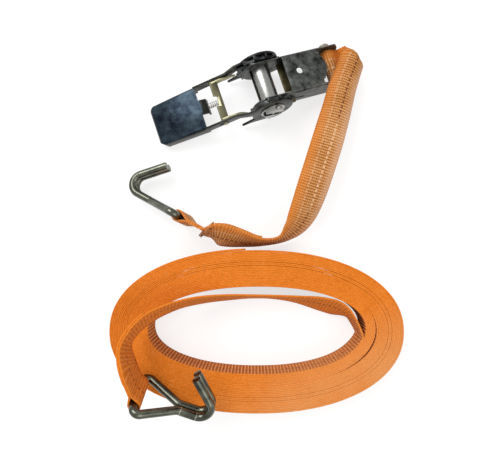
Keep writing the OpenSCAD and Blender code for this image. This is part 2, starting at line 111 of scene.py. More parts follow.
# the turns of the coil; LOOSE gives the extra layers of some turns, counted from outside
TURNS, PER_TURN, COIL_START, COIL_END = 23, 120, 3, 138
COIL_SLACK, COIL_MID, COIL_W = 0.6, 12.4, WEB_W - 0.5
WAVE, LIFT, JOIN_GAP = 0.12, 0.12, 5.0
LOOSE = {2: 0.1, 8: 0.24, 10: 0.22}
SAG, SAG_WIDE, SAG_AT, SAG_TURNS = 1.5, 24.0, 18.0, 7
TAIL_STEPS, TAIL_STEP, TAIL_OFF = 22, 2.0, 0.25

FLAT = Vector((0, 0, 0))
UP = Vector((0, 0, 1))


def cosd(a):
    """The cosine of degrees."""
    return math.cos(math.radians(a))


def sind(a):
    """The sine of degrees."""
    return math.sin(math.radians(a))


def spin(a, v):
    """Turns a vector in plan, by degrees."""
    return Vector((v[0] * cosd(a) - v[1] * sind(a), v[0] * sind(a) + v[1] * cosd(a), v[2]))


def dip(a, v):
    """Tips a vector, so that its +X end goes down by degrees."""
    return Vector((v[0] * cosd(a) + v[2] * sind(a), v[1], -v[0] * sind(a) + v[2] * cosd(a)))


def base_point(v):
    """A point of the ratchet's base, measured from the spool."""
    return SPOOL_AT + spin(YAW, dip(BASE_DIP, v))


def base_way(v):
    """A direction on the ratchet's base."""
    return spin(YAW, dip(BASE_DIP, v))


def handle_way(v):
    """A direction on the ratchet's handle."""
    return spin(YAW, dip(-HANDLE_DIP, v))


# ---- properties -----------------------------------------------------------------


class WebbingSettings(bpy.types.PropertyGroup):
    """Sizes and colours of the orange webbing"""

    colour: bpy.props.FloatVectorProperty(
        name="Webbing", description="Colour of the orange yarn", subtype="COLOR", size=3,
        min=0.0, max=1.0, default=(0.78, 0.215, 0.017))
    dark: bpy.props.FloatVectorProperty(
        name="Between yarns", description="Colour of the gaps in the weave", subtype="COLOR",
        size=3, min=0.0, max=1.0, default=(0.36, 0.085, 0.012))
    faded: bpy.props.FloatVectorProperty(
        name="Faded", description="Where the webbing is rubbed pale", subtype="COLOR", size=3,
        min=0.0, max=1.0, default=(0.74, 0.32, 0.11))
    short: bpy.props.FloatVectorProperty(
        name="Short strap", description="Colour of the short strap", subtype="COLOR", size=3,
        min=0.0, max=1.0, default=(0.52, 0.20, 0.036))
    shade: bpy.props.FloatVectorProperty(
        name="Between ribs", description="Colour between the short strap's ribs",
        subtype="COLOR", size=3, min=0.0, max=1.0, default=(0.24, 0.072, 0.008))
    light: bpy.props.FloatVectorProperty(
        name="Pale yarn", description="Colour of the pale yarns", subtype="COLOR", size=3,
        min=0.0, max=1.0, default=(0.78, 0.48, 0.27))
    pick: bpy.props.FloatProperty(
        name="Short strap rib", description="Distance between the ribs across the short strap",
        unit="LENGTH", min=0.001, max=0.004, default=0.0021)
    rib: bpy.props.FloatProperty(
        name="Rib", description="Distance between the ribs across the long strap", unit="LENGTH",
        min=0.001, max=0.004, default=0.0026)
    # the colour of the pale pinkish painted sheen along the short strap's right edge
    rubbed: bpy.props.FloatVectorProperty(
        name="Rubbed edge", description="Pinkish colour of the short strap's rubbed edge",
        subtype="COLOR", size=3, min=0.0, max=1.0, default=(0.80, 0.50, 0.33))
    marker: bpy.props.FloatVectorProperty(
        name="Marker yarn", description="Colour of the dark yarns along the strap",
        subtype="COLOR", size=3, min=0.0, max=1.0, default=(0.16, 0.045, 0.02))
    layer: bpy.props.FloatProperty(
        name="Layer", description="Thickness of one turn in the coil", unit="LENGTH",
        min=0.0008, max=0.0014, default=0.00126)
    turns: bpy.props.IntProperty(
        name="Turns", description="Turns in the coil", min=10, max=26, default=TURNS)


class SteelSettings(bpy.types.PropertyGroup):
    """Colours and edges of the plated steel parts"""

    dark: bpy.props.FloatVectorProperty(
        name="Sheet", description="Dark plated sheet of the base", subtype="COLOR", size=3,
        min=0.0, max=1.0, default=(0.018, 0.020, 0.018))
    pale: bpy.props.FloatVectorProperty(
        name="Worn sheet", description="Where the base's plating is bright", subtype="COLOR",
        size=3, min=0.0, max=1.0, default=(0.18, 0.19, 0.175))
    zinc: bpy.props.FloatVectorProperty(
        name="Zinc", description="Zinc on the spool, washers and cotters", subtype="COLOR", size=3,
        min=0.0, max=1.0, default=(0.52, 0.52, 0.50))
    yellow: bpy.props.FloatVectorProperty(
        name="Yellow zinc", description="Zinc on the drive pawl", subtype="COLOR", size=3,
        min=0.0, max=1.0, default=(0.35, 0.33, 0.20))
    edge: bpy.props.FloatProperty(
        name="Edge", description="Rounding of sheared edges", unit="LENGTH",
        min=0.0, max=0.0004, default=0.0002)


class StudioSettings(bpy.types.PropertyGroup):
    """Light and floor"""

    key: bpy.props.FloatProperty(
        name="Key light", description="Power of the large lamp", subtype="POWER", min=0.0,
        default=7.5)
    fill: bpy.props.FloatProperty(
        name="World", description="Strength of the even light", min=0.0, default=0.62)
    glow: bpy.props.FloatProperty(
        name="Floor glow", description="White that the camera sees on the floor besides its light",
        min=0.0, max=1.0, default=0.70)
    floor: bpy.props.FloatVectorProperty(
        name="Floor", description="Colour of the floor", subtype="COLOR", size=3, min=0.0,
        max=1.0, default=(0.90, 0.90, 0.90))


def webbing():
    """The webbing's settings."""
    return bpy.context.scene.tiedown_webbing


def steel():
    """The steel's settings."""
    return bpy.context.scene.tiedown_steel


def studio():
    """The studio's settings."""
    return bpy.context.scene.tiedown_studio


# ---- small helpers --------------------------------------------------------------


def clear_selection():
    """Leaves edit mode and deselects everything."""
    if bpy.context.object and bpy.context.object.mode != "OBJECT":
        bpy.ops.object.mode_set(mode="OBJECT")
    bpy.ops.object.select_all(action="DESELECT")


def pick(obj):
    """Makes one object the only selected one."""
    clear_selection()
    obj.select_set(True)
    bpy.context.view_layer.objects.active = obj


def settle(obj, name, material):
    """Puts a finished piece at the origin with its place in its mesh, and dresses it."""
    pick(obj)
    bpy.ops.object.transform_apply(location=True, rotation=True, scale=True)
    obj.name = name
    obj.data.name = name
    obj.data.materials.clear()
    obj.data.materials.append(material)
    return obj


class Nodes:
    """A material's node tree, and short ways to add to it."""

    def __init__(self, name):
        self.material = bpy.data.materials.new(name)
        self.material.use_nodes = True
        self.tree = self.material.node_tree
        self.shader = self.tree.nodes["Principled BSDF"]

    def add(self, kind, inputs=(), **settings):
        """A new node with its inputs filled or joined."""
        node = self.tree.nodes.new(kind)
        for key, value in settings.items():
            setattr(node, key, value)
        for key, value in dict(inputs).items():
            self.put(node.inputs[key], value)
        return node

    def put(self, socket, value):
        """Joins a socket to a node or an output, or sets its value."""
        if isinstance(value, bpy.types.NodeSocket):
            self.tree.links.new(value, socket)
        elif hasattr(value, "outputs"):
            self.tree.links.new(value.outputs[0], socket)
        else:
            socket.default_value = value

    def math(self, what, a, b=0.0, c=0.0):
        """One sum on up to three values."""
        return self.add("ShaderNodeMath", {0: a, 1: b, 2: c}, operation=what).outputs[0]

    def ramp(self, value, stops):
        """Colours at places between 0 and 1."""
        node = self.add("ShaderNodeValToRGB", {"Fac": value})
        while len(node.color_ramp.elements) < len(stops):
            node.color_ramp.elements.new(0.5)
        for element, (at, colour) in zip(node.color_ramp.elements, stops):
            element.position = at
            element.color = (*colour, 1.0)
        return node.outputs[0]

    def mix(self, share, a, b):
        """A colour between a and b."""
        node = self.add("ShaderNodeMix", data_type="RGBA")
        self.put(node.inputs[0], share)
        for socket, side in ((node.inputs[6], a), (node.inputs[7], b)):
            self.put(socket, (*side, 1.0) if isinstance(side, tuple) else side)
        return node.outputs[2]

    def noise(self, where, scale, detail, rough, stretch=None):
        """Noise of a scale per metre, drawn out where stretch is given."""
        if stretch:
            where = self.add("ShaderNodeMapping", {"Vector": where, "Scale": stretch}).outputs[0]
        return self.add("ShaderNodeTexNoise", {"Vector": where, "Scale": scale,
                                               "Detail": detail, "Roughness": rough}).outputs[0]

    def bump(self, height, distance, strength, onto=None):
        """A bump from a height, on top of another where onto is given."""
        node = self.add("ShaderNodeBump", {"Height": height, "Distance": distance,
                                           "Strength": strength})
        if onto is not None:
            self.put(node.inputs["Normal"], onto)
        return node.outputs[0]

    def swing(self, value, much):
        """A value's distance from one half, times much."""
        return self.math("MULTIPLY", self.math("SUBTRACT", value, 0.5), much)

    def wave(self, along, period):
        """A sine wave along a value."""
        return self.math("SINE", self.math("MULTIPLY", along, 2 * math.pi / period))

    def dashes(self, along, period, above):
        """1 on the dashes of a yarn and 0 between them."""
        return self.math("GREATER_THAN", self.wave(along, period), above)

    def stripe(self, across, at, half):
        """1 on a stripe along the strap."""
        off = self.math("ABSOLUTE", self.math("SUBTRACT", across, at))
        return self.math("LESS_THAN", off, half)

    def place(self):
        """Object coordinates."""
        return self.add("ShaderNodeTexCoord").outputs["Object"]

    def weave(self):
        """The strap's own coordinates: U across from 0 to 1, and V along in metres."""
        uv = self.add("ShaderNodeUVMap", uv_map="weave").outputs[0]
        split = self.add("ShaderNodeSeparateXYZ", {0: uv})
        return split.outputs[0], split.outputs[1]


def three(colour):
    """A colour as three plain numbers."""
    return tuple(colour)


def grey(level):
    """A grey as three plain numbers."""
    return (level, level, level)


# ---- materials ------------------------------------------------------------------

# yarns across the short strap, and how far along it the sewn lap is painted smoother and lighter,
# in metres
YARNS = 17
LIT_SMOOTH_LAP = 0.066


def plated_steel(name, low, high, rough, spots, patch=90.0, between=(0.35, 0.7), metal=0.85):
    """Plated steel with cloudy patches, fine pits and edges painted bright: partly worn plating,
    partly a painted edge highlight.

    low and high colour the dark and the bright patches, which have the scale patch and turn
    into one another between the two levels. spots is how much the pits show.
    """
    n = Nodes(name)
    where = n.place()
    clouds = n.noise(where, patch, 6.0, 0.62)
    pits = n.noise(where, 1500.0, 3.0, 0.6)
    mixed = n.math("MULTIPLY_ADD", pits, spots, clouds)
    tone = n.ramp(mixed, [(between[0], low), (between[1], high)])
    # edges are painted bright where the rounded normal leaves the flat one, concave ones too:
    # partly worn plating, partly a painted highlight
    rounded = n.add("ShaderNodeBevel", {"Radius": 0.0005}, samples=4).outputs[0]
    flat = n.add("ShaderNodeNewGeometry").outputs["Normal"]
    same = n.add("ShaderNodeVectorMath", {0: rounded, 1: flat}, operation="DOT_PRODUCT")
    worn = n.ramp(same.outputs["Value"], [(0.80, grey(0.55)), (0.97, grey(0.0))])
    tone = n.mix(worn, tone, tuple(min(1.0, 3.0 * c + 0.12) for c in high))
    n.put(n.shader.inputs["Base Color"], tone)
    n.shader.inputs["Metallic"].default_value = metal
    n.put(n.shader.inputs["Roughness"], n.math("MULTIPLY_ADD", clouds, 0.25, rough - 0.12))
    height = n.math("MULTIPLY_ADD", pits, 0.6, clouds)
    n.put(n.shader.inputs["Normal"], n.bump(height, 0.00022, 0.35))
    return n.material


def spool_steel(name, colour):
    """Turned steel: fine scratches round the rod, drawn along its axis."""
    n = Nodes(name)
    turned = n.add("ShaderNodeMapping",
                   {"Vector": n.place(), "Rotation": (0, 0, -math.radians(YAW))})
    drawn = n.noise(turned.outputs[0], 260.0, 4.0, 0.6, (1.0, 9.0, 1.0))
    tone = n.ramp(drawn, [(0.3, tuple(c * 0.62 for c in colour)), (0.75, colour)])
    n.put(n.shader.inputs["Base Color"], tone)
    n.shader.inputs["Metallic"].default_value = 1.0
    n.put(n.shader.inputs["Roughness"], n.math("MULTIPLY_ADD", drawn, 0.2, 0.2))
    n.put(n.shader.inputs["Normal"], n.bump(drawn, 0.0001, 0.3))
    return n.material


def cloth_finish(n, tone, rough, gloss, ribs, fuzz):
    """Fills in a cloth's colour, gloss and its two bumps, each a height, distance and strength."""
    n.put(n.shader.inputs["Base Color"], tone)
    n.shader.inputs["Roughness"].default_value = rough
    n.shader.inputs["Specular IOR Level"].default_value = gloss
    n.put(n.shader.inputs["Normal"], n.bump(*fuzz, n.bump(*ribs)))
    return n.material


def webbing_cloth(name):
    """The short strap's ribbed webbing."""
    s = webbing()
    n = Nodes(name)
    u, v = n.weave()
    where = n.place()
    patch = n.noise(where, 55.0, 4.0, 0.6)
    fuzz = n.noise(where, 1500.0, 2.0, 0.6)
    # the ribs run a little unevenly, and the yarns lie across them
    drift = n.swing(fuzz, 0.0012)
    rib = n.wave(n.math("ADD", v, drift), s.pick)
    yarn = n.wave(u, 1 / YARNS)
    weave = n.math("MULTIPLY_ADD", rib, 0.75, n.math("MULTIPLY", yarn, 0.3))
    level = n.math("ADD", n.math("MULTIPLY_ADD", weave, 0.27, 0.5), n.swing(patch, 0.45))
    level = n.math("ADD", level, n.swing(fuzz, 0.4))
    tone = n.ramp(level, [(0.18, three(s.shade)), (0.5, three(s.short)), (0.9, three(s.light))])
    # painted light across the strap: the left part is painted brighter orange, as if lit from the
    # left, and the right edge gets a pale pinkish painted sheen
    bright = n.ramp(u, [(0.1, grey(0.55)), (0.42, grey(0.0))])
    tone = n.mix(bright, tone, three(s.colour))
    sheen_share = n.ramp(u, [(0.72, grey(0.0)), (0.97, grey(0.55))])
    tone = n.mix(sheen_share, tone, three(s.rubbed))
    # the sewn lap over the end bolt is painted smoother, and lighter orange as painted light
    # against the shade that the strap's run casts on it
    smooth = n.math("MULTIPLY", n.math("LESS_THAN", v, LIT_SMOOTH_LAP), 0.75)
    tone = n.mix(smooth, tone, three(s.colour))
    # one yarn line along the strap is dark in places and pale in others, another is pale
    slow = n.wave(v, 0.17)
    yarn_tone = n.ramp(slow, [(0.1, three(s.marker)), (0.35, three(s.light))])
    line = n.math("MULTIPLY", n.stripe(u, 0.62, 0.030), n.dashes(v, 0.0038, -0.2))
    tone = n.mix(n.math("MULTIPLY", line, 0.85), tone, yarn_tone)
    line = n.math("MULTIPLY", n.stripe(u, 0.34, 0.018), n.dashes(v, 0.0052, -0.5))
    tone = n.mix(n.math("MULTIPLY", line, 0.45), tone, three(s.light))
    return cloth_finish(n, tone, 0.8, 0.25, (weave, 0.00025, 0.8), (fuzz, 0.00008, 0.5))


def coil_cloth(name, lead):
    """The long strap's webbing: fuzzy edges in the coil, and deep ribs on its faces.

    lead is the length of its first part, which isn't wound and whose ribs show little.
    """
    s = webbing()
    n = Nodes(name)
    u, v = n.weave()
    face = n.stripe(u, 0.5, 0.482)
    wound = n.math("MULTIPLY_ADD", n.math("GREATER_THAN", v, lead), 0.75, 0.25)
    rib = n.math("MULTIPLY", n.wave(v, s.rib), n.math("MULTIPLY", face, wound))
    where = n.place()
    broad = n.noise(where, 11.0, 2.0, 0.5)
    patch = n.noise(where, 60.0, 5.0, 0.65)
    fuzz = n.noise(where, 750.0, 4.0, 0.8)
    level = n.math("MULTIPLY_ADD", rib, 0.26, 0.62)
    # the strap's faces are painted darker than its edges: partly the faces' own tone, partly
    # painted shade on the coil's inner and outer walls
    level = n.math("SUBTRACT", level, n.math("MULTIPLY", face, 0.17))
    level = n.math("ADD", level, n.swing(patch, 0.35))
    level = n.math("ADD", level, n.swing(fuzz, 1.15))
    bright, dark = three(s.colour), three(s.dark)
    mid = tuple(0.6 * a + 0.4 * b for a, b in zip(bright, dark))
    tone = n.ramp(level, [(0.12, dark), (0.42, mid), (0.68, bright), (0.98, three(s.faded))])
    ridge = n.math("MULTIPLY", n.math("MAXIMUM", rib, 0.0), 0.5)
    tone = n.mix(ridge, tone, three(s.light))
    # the coil is faded in patches towards its near right side
    worn = n.math("MULTIPLY_ADD", patch, 0.4, broad)
    worn = n.ramp(worn, [(0.5, grey(0.2)), (0.8, grey(1.0))])
    split = n.add("ShaderNodeSeparateXYZ", {0: where})
    side = n.math("MULTIPLY_ADD", split.outputs[0], 7.5, -1.65)
    side = n.math("MULTIPLY_ADD", split.outputs[1], -15.0, side)
    side = n.math("MINIMUM", n.math("MAXIMUM", side, 0.0), 1.0)
    tone = n.mix(n.math("MULTIPLY", worn, side), tone, three(s.faded))
    # a dark marker yarn runs along the strap's faces
    line = n.math("MULTIPLY", n.stripe(u, 0.56, 0.025), n.dashes(v, 0.0042, 0.0))
    tone = n.mix(n.math("MULTIPLY", line, 0.8), tone, three(s.marker))
    return cloth_finish(n, tone, 0.85, 0.15, (rib, 0.0004, 0.9), (fuzz, 0.00014, 0.6))


# ---- ribbons of webbing ---------------------------------------------------------


def curve_point(a, b, c, d, t):
    """A value between b and c, at t from 0 to 1, on a smooth curve past a, b, c and d."""
    return 0.5 * (2 * b + (c - a) * t + (2 * a - 5 * b + 4 * c - d) * t * t
                  + (3 * b - a - 3 * c + d) * t * t * t)


def smooth_route(points, steps):
    """A smooth curve through points, with steps from each to the next."""
    out = []
    last = len(points) - 1
    for i in range(last):
        for k in range(steps):
            out.append(curve_point(points[max(i - 1, 0)], points[i], points[i + 1],
                                   points[min(i + 2, last)], k / steps))
    return out + [points[-1]]


def strap_rows(route, steps):
    """(middle, way of the width, face, bow) along a route of (middle, way, bow)."""
    mids = smooth_route([Vector(r[0]) for r in route], steps)
    ways = smooth_route([Vector(r[1]).normalized() for r in route], steps)
    bows = smooth_route([r[2] for r in route], steps)
    rows = []
    for i, (m, w, bow) in enumerate(zip(mids, ways, bows)):
        run = (mids[min(i + 1, len(mids) - 1)] - mids[max(i - 1, 0)]).normalized()
        w = (w - run * w.dot(run)).normalized()
        rows.append((m, w, run.cross(w), bow))
    return rows


def layer(row, off):
    """A row moved off its route's middle, with its bow round the same centre."""
    m, w, face, angle = row
    if angle:
        angle = 1 / (1 / angle + off / WEB_W)
    return m + face * off, w, face * angle


def two_layers(rows, gap, lap):
    """Splits a doubled route into its lead and its lap, which runs back from the loop."""
    lead = [layer(row, -gap) for row in rows]
    run, short = 0.0, []
    for i, row in enumerate(rows):
        if i:
            run += (row[0] - rows[i - 1][0]).length
        if run > lap:
            break
        short.append(layer(row, gap))
    return lead, short


def evenly(rows, step):
    """Rows again, at about equal distances."""
    out = [rows[0]]
    carry = 0.0
    for (a, wa, ba), (b, wb, bb) in zip(rows, rows[1:]):
        length = (b - a).length
        if length < 1e-9:
            continue
        at = step - carry
        while at < length:
            t = at / length
            out.append((a.lerp(b, t), wa.lerp(wb, t).normalized(), ba.lerp(bb, t)))
            at += step
        carry = (carry + length) % step
    out.append(rows[-1])
    return out


def loop_rows(centre, up, tongue, inner, length):
    """A strap's way round a bar: along one side of the tongue, round, and back on the other."""
    radius = inner + WEB_T / 2
    side = up.cross(tongue).normalized()
    near, far = tongue * (radius * LOOP_NECK), tongue * length
    mids = [centre + far + side * LAP_GAP, centre + near + side * LAP_GAP]
    for k in range(LOOP_STEPS + 1):
        a = math.radians(LOOP_OPEN + (360 - 2 * LOOP_OPEN) * k / LOOP_STEPS)
        mids.append(centre + (tongue * math.cos(a) + side * math.sin(a)) * radius)
    mids += [centre + near - side * LAP_GAP, centre + far - side * LAP_GAP]
    return [(m, up, FLAT) for m in mids]


def ending_near(rows, place):
    """Rows in the order that ends near a place."""
    if (rows[-1][0] - place).length > (rows[0][0] - place).length:
        return rows[::-1]
    return rows


def section_point(row, run, across, through, width, thick):
    """A point of a strap's section, which may be bowed across its width."""
    m, w, bow = row
    w = (w - run * w.dot(run)).normalized()
    face = run.cross(w)
    angle = bow.dot(face)
    if abs(angle) < 0.01:
        return m + w * (across * width / 2) + face * (through * thick / 2)
    radius = width / angle
    out = face * math.cos(angle * across / 2) + w * math.sin(angle * across / 2)
    return m - face * radius + out * (radius + through * thick / 2)


def ribbon(name, rows, width, thick, material, round_edge):
    """One closed strap through rows of (middle, way of the width, bow), with its own UV."""
    rim = 1 - 2 * round_edge / width
    inner = (rim, 0.72, 0.36, 0.0, -0.36, -0.72, -rim)
    # the section's points, across and through the strap, each from -1 to 1
    section = ([(1, 0.25)] + [(a, 1) for a in inner] + [(-1, 0.25), (-1, -0.25)]
               + [(a, -1) for a in inner[::-1]] + [(1, -0.25)])
    sides = len(section)
    mesh = bmesh.new()
    uv = mesh.loops.layers.uv.new("weave")
    rings, runs = [], [0.0]
    count = len(rows)
    for i, row in enumerate(rows):
        run = (rows[min(i + 1, count - 1)][0] - rows[max(i - 1, 0)][0]).normalized()
        rings.append([mesh.verts.new((section_point(row, run, a, b, width, thick) + MIDDLE) * MM)
                      for a, b in section])
        if i:
            runs.append(runs[-1] + (row[0] - rows[i - 1][0]).length)
    for i in range(count - 1):
        for a in range(sides):
            b = (a + 1) % sides
            f = mesh.faces.new((rings[i][a], rings[i + 1][a], rings[i + 1][b], rings[i][b]))
            f.smooth = True
            for loop, (q, j) in zip(f.loops, ((a, i), (a, i + 1), (b, i + 1), (b, i))):
                loop[uv].uv = ((section[q][0] + 1) / 2, runs[j] * MM)
    for ring in (rings[0], rings[-1][::-1]):
        f = mesh.faces.new(ring)
        for loop in f.loops:
            loop[uv].uv = (0.5, 0.0)
    bmesh.ops.recalc_face_normals(mesh, faces=mesh.faces)
    data = bpy.data.meshes.new(name)
    mesh.to_mesh(data)
    mesh.free()
    obj = bpy.data.objects.new(name, data)
    bpy.context.scene.collection.objects.link(obj)
    data.materials.append(material)
    return obj, runs[-1]


# ---- the short strap's way ------------------------------------------------------


def turn_row(t):
    """The diagonal fold beside the end bolt, from t = 0 to 1."""
    along = Vector((cosd(TURN_WAY), sind(TURN_WAY), 0))
    outwards = Vector((-sind(TURN_WAY), cosd(TURN_WAY), 0))
    lead = YAW - TURN_WAY
    around = 180 * t
    gain = math.pi * TURN_R * t * cosd(lead) / sind(lead)
    at = base_point((BOLT_AT + LOOP_TONGUE + TURN_AFTER, TURN_ASIDE, BOLT_H)) + along * gain
    at += outwards * (TURN_R * sind(around))
    at += UP * (TURN_R * (1 - cosd(around)) + TURN_RISE * t + TURN_LIFT)
    way = along * sind(lead) - (outwards * cosd(around) + UP * sind(around)) * cosd(lead)
    return at, way, TURN_BOW * min(1.0, 0.25 + 1.5 * t)


SHORT_WAY = spin(SHORT_TURN, dip(SHORT_DIP, (1, 0, 0)))
SHORT_UP = spin(SHORT_TURN, dip(SHORT_DIP, (0, 0, -1)))

# the middle, the way of the width and the bow, from the fold to the hook's eye
SHORT_RUN = [
    ((73.4, 126.5, 25.2), (0.83, -0.52, 0.0), 2.4), ((67.6, 111, 26.3), (0.94, -0.28, 0.0), 1.9),
    ((63.2, 95, 26.8), (0.96, -0.25, 0.0), 1.5), ((57.6, 76.5, 27.5), (0.95, -0.27, 0.0), 0.8),
    ((52.6, 60.5, 27.5), (0.95, -0.29, 0.0), 0.5), ((44.2, 34.2, 25.8), (0.93, -0.33, -0.08), 0.5),
    ((38.6, 17, 22), (0.84, -0.38, -0.34), 0.5), ((34, 6.5, 18), (0.66, -0.42, -0.6), 0.4),
    ((27.5, -1.2, 15.8), (0.38, -0.4, -0.84), 0.2), ((17, -8.2, 15), (0.08, -0.16, -0.98), 0.0),
    ((0, -9.9, 15.6), (0, -0.24, -0.97), 0.0), ((-15, -7.6, 19.5), (0, -0.5, -0.86), 0.0),
    ((-28, -4.6, 23.6), (0, -0.62, -0.78), 0.0), ((-37, -1.6, 23.4), (0.14, -0.3, -0.94), 0.0),
]

# ---- the long strap's way -------------------------------------------------------

LONG_WAY = Vector((cosd(LONG_EYE_YAW), sind(LONG_EYE_YAW) * cosd(LONG_TILT),
                   sind(LONG_EYE_YAW) * sind(LONG_TILT)))
LONG_UP = Vector((0, -sind(LONG_TILT), cosd(LONG_TILT)))

# the middle and the way of the width, from the coil's inner wall to the hook's eye
LONG_RUN = [
    ((79.4, -75.5, 12.6), (0, 0, 1)), ((74.5, -69.3, 12.7), (0.03, 0.16, 0.98)),
    ((64.5, -63, 12.9), (0.1, 0.5, 0.86)), ((51, -58.9, 13), (0.05, 0.5, 0.86)),
    ((32, -55.3, 13), (0.02, 0.3, 0.95)), ((13, -53.4, 13), (0, 0.2, 0.98)),
    ((-5, -53, 13.6), (0, 0.2, 0.98)), ((-21, -53.4, 16.5), (0, 0.25, 0.97)),
    ((-38, -54, 24), (-0.03, 0.27, 0.96)), ((-54, -55.8, 33), (-0.05, 0.28, 0.96)),
    ((-68, -60, 38.5), (-0.12, 0.27, 0.95)), ((-79.5, -66, 43.5), (-0.17, 0.2, 0.96)),
    ((-88.2, -74.5, 48.5), (-0.12, 0.08, 0.98)), ((-92.2, -84, 52), (-0.03, -0.05, 0.99)),
]


def oval_point(a, b, t):
    """A point of the coil's oval of half length a and half width b, at the angle t."""
    c, s = cosd(t), sind(t)
    return Vector((COIL_AT[0] + a * math.copysign(abs(c) ** (2 / FULL), c),
                   COIL_AT[1] + b * math.copysign(abs(s) ** (2 / FULL), s), 0))


def coil_rows(turns, thick):
    """The coil's turns, clockwise and outwards, then the loose outer end."""
    rng = random.Random(5)
    half_a, half_b, wind = COIL_A - COIL_SLACK, COIL_B - COIL_SLACK, WIND_T - COIL_SLACK
    # each turn stands a little higher or lower than the last, and a few lie loose
    lift = [rng.uniform(-LIFT, LIFT) for _ in range(turns + 3)]
    steps = [1 + LOOSE.get(turns - i, 0.0) for i in range(turns + 1)]
    grown = [sum(steps[:i]) for i in range(turns + 1)]
    last = int(turns * PER_TURN - PER_TURN * COIL_END / 360)
    rows = []
    for k in range(COIL_START, last + 1):
        whole, part = int(k / PER_TURN), (k % PER_TURN) / PER_TURN
        out = (grown[whole] + steps[whole] * part) / grown[turns - 1]
        angle = 360.0 * k / PER_TURN
        inset = thick / 2 + (wind - thick) * (1 - out)
        inset += WAVE * math.sin(k * 2 * math.pi / PER_TURN * 3 + 1.0) * (1 - out)
        # the inner turns sag inwards at the right
        around = angle - SAG_AT + 180
        if around < 360 * SAG_TURNS:
            inset += SAG * math.exp(-((around % 360 - 180) / SAG_WIDE) ** 2)
        z = COIL_MID + lift[whole] * (1 - part) + lift[whole + 1] * part
        rows.append((oval_point(half_a - inset, half_b - inset, -angle) + UP * z, UP, FLAT))
    # the loose end goes on outside the last turn
    for i in range(1, TAIL_STEPS + 1):
        off = -inset + TAIL_OFF * (i / TAIL_STEPS) ** 2
        at = oval_point(half_a + off, half_b + off, COIL_END - TAIL_STEP * i)
        rows.append((at + UP * COIL_MID, UP, FLAT))
    return rows


# ---- operators ------------------------------------------------------------------


def dressed(node, material, edge=None, angle=35.0):
    """A merged copy of a CAD node, with its edges rounded and its faces smoothed."""
    pick(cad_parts[node])
    bpy.ops.object.duplicate()
    obj = bpy.context.object
    world = obj.matrix_world.copy()
    obj.parent = None
    obj.matrix_world = world
    pick(obj)
    bpy.ops.object.mode_set(mode="EDIT")
    bpy.ops.mesh.select_all(action="SELECT")
    bpy.ops.mesh.remove_doubles(threshold=0.00001)
    bpy.ops.mesh.dissolve_limited(angle_limit=math.radians(1.0))
    bpy.ops.mesh.select_all(action="SELECT")
    bpy.ops.mesh.normals_make_consistent(inside=False)
    bpy.ops.object.mode_set(mode="OBJECT")
    edge = steel().edge if edge is None else edge
    if edge:
        bpy.ops.object.modifier_add(type="BEVEL")
        bevel = obj.modifiers[-1]
        bevel.width = edge
        bevel.segments = 2
        bevel.limit_method = "ANGLE"
        bevel.angle_limit = math.radians(angle)
        bevel.use_clamp_overlap = True
        bpy.ops.object.modifier_apply(modifier=bevel.name)
    bpy.ops.object.shade_smooth_by_angle(angle=math.radians(angle))
    return settle(obj, node + "_finished", material)


def seat(piece, body, node):
    """Lets a piece stand for a CAD node and ride with a body."""
    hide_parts(node)
    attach(piece, body)


def press(spring):
    """Gives a spring its own copy of its mesh."""
    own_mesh(spring)


class TIEDOWN_OT_camera(bpy.types.Operator):
    """Sets the camera where the picture was taken from"""

    bl_idname = "tiedown.camera"
    bl_label = "Camera"

    def execute(self, context):
        data = bpy.data.cameras.new("picture_camera")
        data.sensor_fit = "AUTO"
        data.sensor_width = SENSOR
        data.lens = LENS
        data.shift_x = SHIFT_X
        data.shift_y = SHIFT_Y
        data.clip_start = 0.01
        camera = bpy.data.objects.new("picture_camera", data)
        context.scene.collection.objects.link(camera)
        camera.location = CAM_AT
        camera.rotation_euler = (CAM_TILT, 0, 0)
        context.scene.camera = camera
        context.view_layer.update()
        return {"FINISHED"}


class TIEDOWN_OT_sheet_parts(bpy.types.Operator):
    """Finishes the base frame and the handle in dark plated sheet"""

    bl_idname = "tiedown.sheet_parts"
    bl_label = "Base and handle"

    def execute(self, context):
        s = steel()
        base = plated_steel("mottled_sheet", three(s.dark), three(s.pale), rough=0.42,
                            spots=0.30, patch=150.0, between=(0.50, 0.86))
        seat(dressed("base_frame", base), "base", "base_frame")
        grip = plated_steel("grip_sheet", (0.005, 0.009, 0.018), (0.052, 0.080, 0.100),
                            rough=0.30, spots=0.16, patch=110.0, between=(0.46, 0.84))
        side = plated_steel("handle_sheet", (0.006, 0.007, 0.006), (0.045, 0.045, 0.037),
                            rough=0.36, spots=0.2, patch=130.0, between=(0.45, 0.85))
        handle = dressed("handle_frame", grip)
        handle.data.materials.append(side)
        # the bluish sheet shows only on top of the grip
        run, up = handle_way((1, 0, 0)), handle_way((0, 0, 1))
        for face in handle.data.polygons:
            along = (face.center / MM - MIDDLE - SPOOL_AT).dot(run)
            face.material_index = 1 if along > GRIP_ROOT or face.normal.dot(up) < 0.6 else 0
        seat(handle, "handle", "handle_frame")
        return {"FINISHED"}


class TIEDOWN_OT_winding_gear(bpy.types.Operator):
    """Finishes the spool, the wheels, their washers and cotters"""

    bl_idname = "tiedown.winding_gear"
    bl_label = "Spool and wheels"

    def execute(self, context):
        s = steel()
        rod = spool_steel("turned_zinc", three(s.zinc))
        wheel = plated_steel("wheel_steel", (0.008, 0.009, 0.009), (0.07, 0.075, 0.075),
                             rough=0.36, spots=0.2)
        small = plated_steel("zinc_small", (0.2, 0.2, 0.19), three(s.zinc), rough=0.36, spots=0.2)
        for material, edge, nodes in (
                (rod, 0.00035, ("spool_half_front", "spool_half_back")),
                (wheel, 0.00015, ("wheel_near", "wheel_far")),
                (small, 0.0001, ("washer_near", "washer_far", "cotter_near", "cotter_far"))):
            for node in nodes:
                seat(dressed(node, material, edge), "spool", node)
        return {"FINISHED"}


